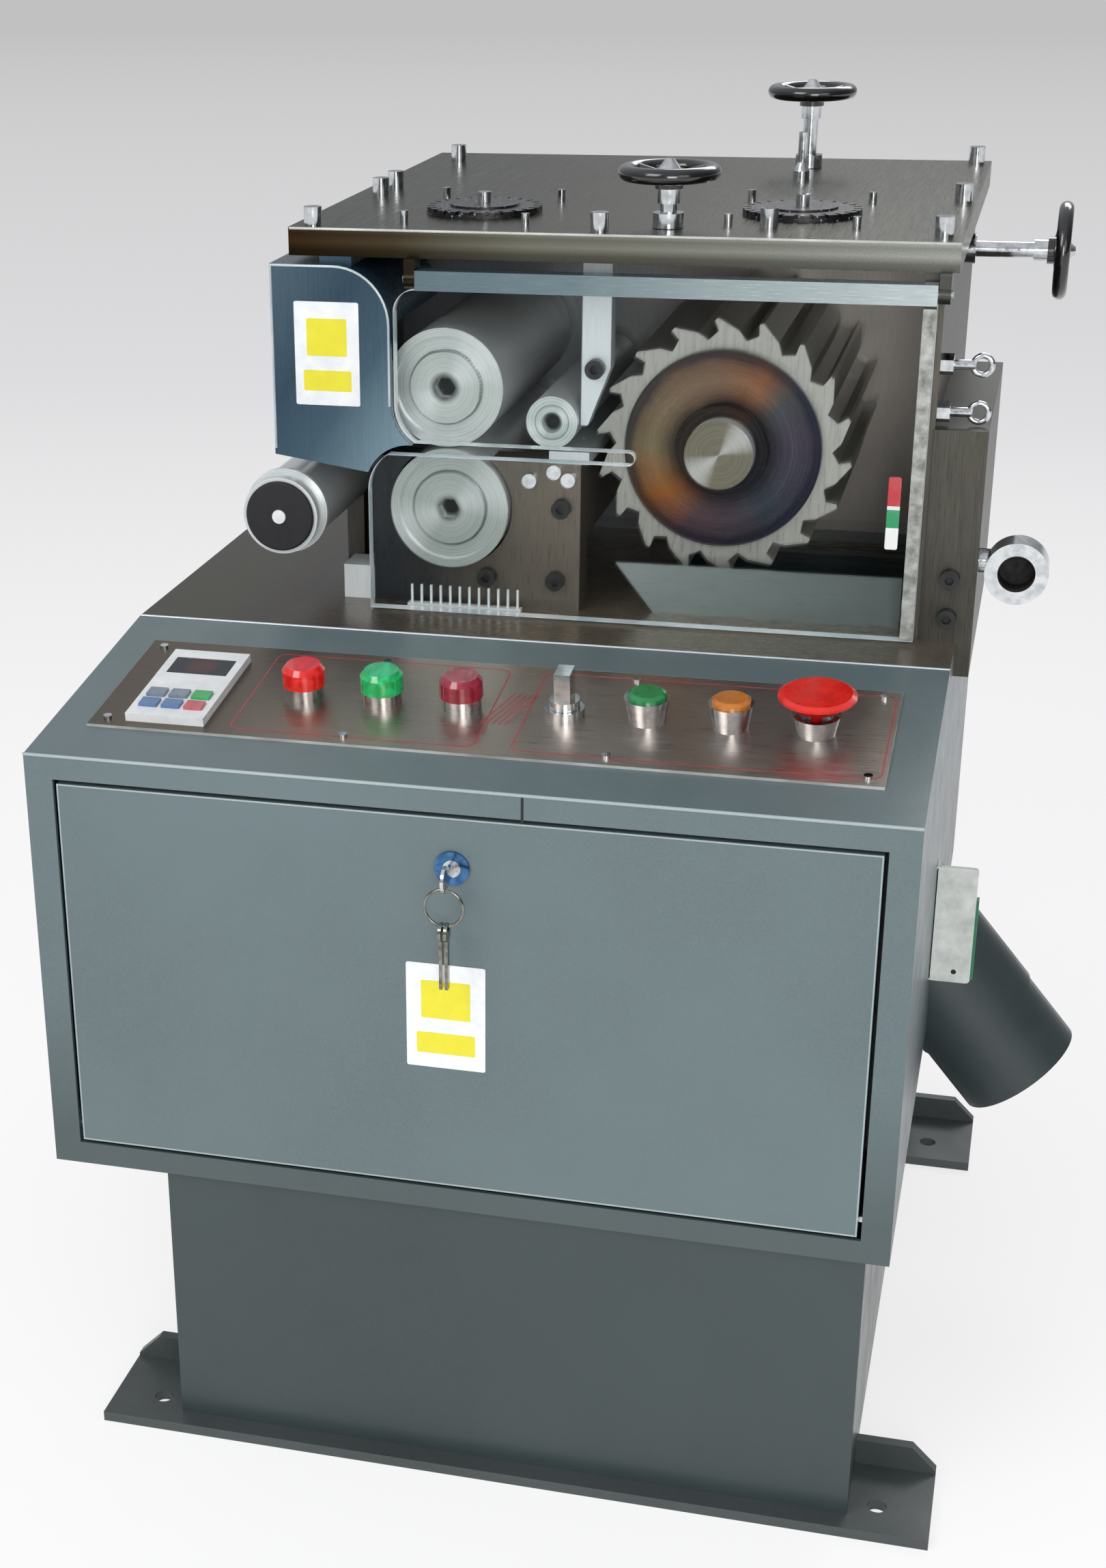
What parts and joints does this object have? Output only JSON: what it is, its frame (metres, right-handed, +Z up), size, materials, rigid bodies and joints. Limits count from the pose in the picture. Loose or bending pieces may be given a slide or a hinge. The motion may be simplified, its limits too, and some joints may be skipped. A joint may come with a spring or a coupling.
{
  "type": "strand pelletizer",
  "caption": "Strand pelletizer with a toothed cutter behind a clear guard, feed rollers, sloping control desk, cabinet with drop-down door and sloping outlet pipe.",
  "frame": {"origin": "centre of the four anchor holes at the floor face of the foot rails", "axes": "+X to the machine's right as the operator sees it, +Y from the operator to the machine's back, +Z up"},
  "size_m": [0.7145, 0.7725, 0.9142],
  "materials": {
    "grey_paint": "semi-gloss hammer paint",
    "dark_paint": "semi-gloss paint",
    "brushed_plate": "brushed",
    "polished_steel": "fine ground",
    "machined_steel": "ground",
    "tinted_steel": "heat tinted",
    "chrome_bright": "polished",
    "black_plastic": "gloss",
    "black_oxide": "black oxide",
    "white_plastic": "matte",
    "grey_plastic": "matte",
    "red_plastic": "gloss",
    "green_plastic": "gloss",
    "orange_plastic": "gloss",
    "blue_plastic": "gloss",
    "slate_plastic": "gloss",
    "lamp_lens": "clear moulded",
    "clear_sheet": "clear with polished edges",
    "black_rubber": "matte"
  },
  "bodies": {
    "frame": {"plinth": "dark_paint", "foot_rails": "dark_paint", "control_cabinet": "grey_paint", "table_top": "brushed_plate", "control_plate": "brushed_plate", "keypad_housing": "white_plastic", "indicator_lenses": "lamp_lens", "control_collars": "chrome_bright", "door_hinge_pins": "machined_steel", "head_side_plates": "machined_steel", "bearing_plates": "machined_steel", "head_rear_cover": "dark_paint", "top_plate": "brushed_plate", "bright_screws": "chrome_bright", "infeed_guard": "polished_steel", "knife_block": "machined_steel", "bed_knife": "polished_steel", "socket_screws": "black_oxide", "strand_comb": "polished_steel", "hold_down_bracket": "polished_steel", "discharge_hopper": "polished_steel", "discharge_pipe": "dark_paint", "side_cover": "brushed_plate", "air_port": "chrome_bright", "spring_caps": "black_plastic", "drive_belt": "black_rubber", "drive_motors": "grey_paint", "electrics": "grey_plastic"},
    "door": {"door": "grey_paint", "door_lock": "chrome_bright"},
    "lock": {"lock_key": "chrome_bright"},
    "key_ring": {"key_ring": "chrome_bright"},
    "guard": {"front_guard": "clear_sheet", "guard_rail": "clear_sheet"},
    "rotor": {"rotor_cutter": "machined_steel", "rotor_disc": "tinted_steel", "rotor_shaft": "machined_steel"},
    "motor_shaft": {"motor_pulley": "machined_steel"},
    "lower_roller": {"lower_feed_roller": "polished_steel"},
    "upper_roller": {"upper_feed_roller": "polished_steel"},
    "press_roller": {"press_roller": "polished_steel"},
    "guide_roller": {"guide_roller": "polished_steel"},
    "key_1": {"keypad_key_1": "slate_plastic"},
    "key_2": {"keypad_key_2": "blue_plastic"},
    "key_3": {"keypad_key_3": "red_plastic"},
    "key_4": {"keypad_key_4": "slate_plastic"},
    "key_5": {"keypad_key_5": "blue_plastic"},
    "key_6": {"keypad_key_6": "green_plastic"},
    "selector": {"selector_knob": "chrome_bright"},
    "start": {"start_button": "green_plastic"},
    "stop": {"stop_button": "orange_plastic"},
    "estop": {"emergency_stop": "red_plastic"},
    "wheel_front": {"handwheel_front": "black_plastic", "spindle_front": "chrome_bright"},
    "wheel_rear": {"handwheel_rear": "black_plastic", "spindle_rear": "chrome_bright"},
    "wheel_side": {"handwheel_side": "black_plastic", "spindle_side": "chrome_bright"},
    "eye_upper": {"eyebolt_upper": "chrome_bright"},
    "eye_lower": {"eyebolt_lower": "chrome_bright"}
  },
  "joints": [
    {"name": "key_1_press", "type": "slide", "parent": "frame", "child": "key_1", "axis": [0, 0.1262, -0.992], "range_m": [0, 0.0008], "stiffness_N_per_m": 400},
    {"name": "key_2_press", "type": "slide", "parent": "frame", "child": "key_2", "axis": [0, 0.1262, -0.992], "range_m": [0, 0.0008], "stiffness_N_per_m": 400},
    {"name": "key_3_press", "type": "slide", "parent": "frame", "child": "key_3", "axis": [0, 0.1262, -0.992], "range_m": [0, 0.0008], "stiffness_N_per_m": 400},
    {"name": "key_4_press", "type": "slide", "parent": "frame", "child": "key_4", "axis": [0, 0.1262, -0.992], "range_m": [0, 0.0008], "stiffness_N_per_m": 400},
    {"name": "key_5_press", "type": "slide", "parent": "frame", "child": "key_5", "axis": [0, 0.1262, -0.992], "range_m": [0, 0.0008], "stiffness_N_per_m": 400},
    {"name": "key_6_press", "type": "slide", "parent": "frame", "child": "key_6", "axis": [0, 0.1262, -0.992], "range_m": [0, 0.0008], "stiffness_N_per_m": 400},
    {"name": "selector_turn", "type": "hinge", "parent": "frame", "child": "selector", "pos_m": [0.01704, -0.17531, 0.5584], "axis": [0, -0.1262, 0.992], "range_deg": [-45, 45]},
    {"name": "start_press", "type": "slide", "parent": "frame", "child": "start", "axis": [0, 0.1262, -0.992], "range_m": [0, 0.004], "stiffness_N_per_m": 500},
    {"name": "stop_press", "type": "slide", "parent": "frame", "child": "stop", "axis": [0, 0.1262, -0.992], "range_m": [0, 0.004], "stiffness_N_per_m": 500},
    {"name": "estop_press", "type": "slide", "parent": "frame", "child": "estop", "axis": [0, 0.1262, -0.992], "range_m": [0, 0.005], "stiffness_N_per_m": 1500},
    {"name": "door_swing", "type": "hinge", "parent": "frame", "child": "door", "pos_m": [-0.034, -0.279, 0.249], "axis": [1, 0, 0], "range_deg": [0, 92]},
    {"name": "lock_turn", "type": "hinge", "parent": "door", "child": "lock", "pos_m": [-0.034, -0.288, 0.481], "axis": [0, 1, 0], "range_deg": [0, 90]},
    {"name": "key_ring_swing", "type": "hinge", "parent": "lock", "child": "key_ring", "pos_m": [-0.034, -0.311, 0.4765], "axis": [1, 0, 0], "range_deg": [-60, 8]},
    {"name": "guard_swing", "type": "hinge", "parent": "frame", "child": "guard", "pos_m": [0.05, -0.003, 0.811], "axis": [-1, 0, 0], "range_deg": [0, 95]},
    {"name": "rotor_spin", "type": "hinge", "parent": "frame", "child": "rotor", "pos_m": [0.088, 0.15, 0.688], "axis": [0, 1, 0], "continuous": true},
    {"name": "motor_spin", "type": "hinge", "parent": "frame", "child": "motor_shaft", "pos_m": [0.088, 0.36, 0.315], "axis": [0, 1, 0], "continuous": true},
    {"name": "lower_roller_spin", "type": "hinge", "parent": "frame", "child": "lower_roller", "pos_m": [-0.1105, 0.15, 0.641], "axis": [0, 1, 0], "continuous": true},
    {"name": "upper_roller_spin", "type": "hinge", "parent": "frame", "child": "upper_roller", "pos_m": [-0.113, 0.15, 0.731], "axis": [0, 1, 0], "continuous": true},
    {"name": "press_roller_spin", "type": "hinge", "parent": "frame", "child": "press_roller", "pos_m": [-0.033, 0.15, 0.709], "axis": [0, 1, 0], "continuous": true},
    {"name": "guide_roller_spin", "type": "hinge", "parent": "frame", "child": "guide_roller", "pos_m": [-0.233, 0.05, 0.637], "axis": [0, 1, 0], "continuous": true},
    {"name": "front_wheel_turn", "type": "hinge", "parent": "frame", "child": "wheel_front", "pos_m": [0.0438, 0.0378, 0.86], "axis": [0, 0, 1], "range_deg": [-1080, 1080]},
    {"name": "rear_wheel_turn", "type": "hinge", "parent": "frame", "child": "wheel_rear", "pos_m": [0.10365, 0.3879, 0.86], "axis": [0, 0, 1], "range_deg": [-1080, 1080]},
    {"name": "side_wheel_turn", "type": "hinge", "parent": "frame", "child": "wheel_side", "pos_m": [0.28, 0.22005, 0.808], "axis": [1, 0, 0], "range_deg": [-1080, 1080]},
    {"name": "upper_eyebolt_turn", "type": "hinge", "parent": "frame", "child": "eye_upper", "pos_m": [0.25, 0.02, 0.76], "axis": [1, 0, 0], "range_deg": [-360, 360]},
    {"name": "lower_eyebolt_turn", "type": "hinge", "parent": "frame", "child": "eye_lower", "pos_m": [0.25, 0.02, 0.727], "axis": [1, 0, 0], "range_deg": [-360, 360]}
  ],
  "couplings": [
    {"joint": "motor_spin", "follows": "rotor_spin", "ratio": 1.3871},
    {"joint": "upper_roller_spin", "follows": "lower_roller_spin", "ratio": -1.0345}
  ]
}
